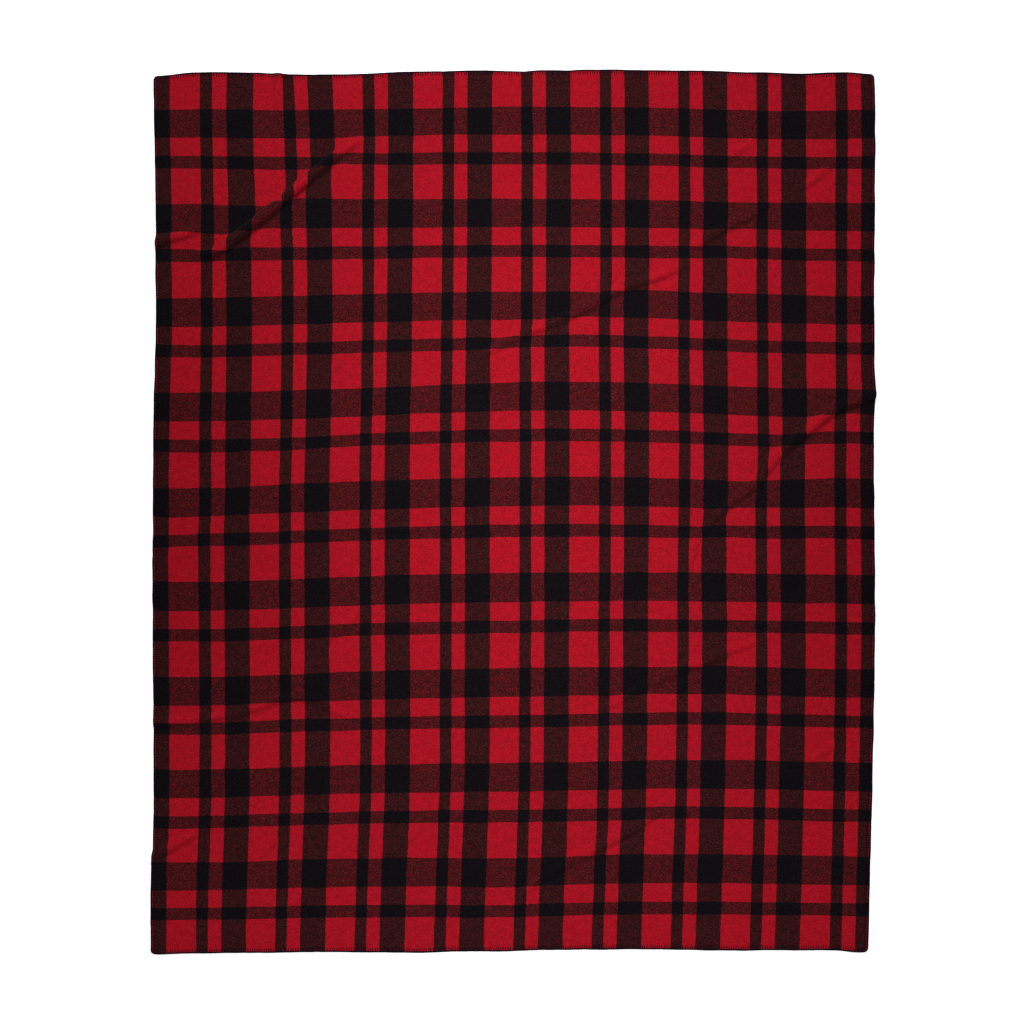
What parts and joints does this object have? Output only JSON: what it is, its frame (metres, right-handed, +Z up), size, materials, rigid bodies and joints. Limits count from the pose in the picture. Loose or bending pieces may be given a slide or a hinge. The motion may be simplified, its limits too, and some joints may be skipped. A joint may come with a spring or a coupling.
{
  "type": "camp blanket",
  "caption": "Flat-laid rectangular wool plaid camp blanket with a yarn blanket stitch bound over all its edges and soft folds left in the cloth.",
  "frame": {"origin": "middle of the underside, on the surface the blanket lies on", "axes": "+Z up out of the face that shows, +Y towards the head edge, +X towards the right edge"},
  "size_m": [1.3716, 1.6764, 0.017],
  "materials": {
    "plaid_wool": "fulled and napped, matt, red and black plaid",
    "black_yarn": "plied wool yarn, matt"
  },
  "bodies": {
    "root": {"woven_panel": "plaid_wool", "edge_stitch_head": "black_yarn", "edge_stitch_foot": "black_yarn", "edge_stitch_left": "black_yarn", "edge_stitch_right": "black_yarn"}
  },
  "joints": []
}
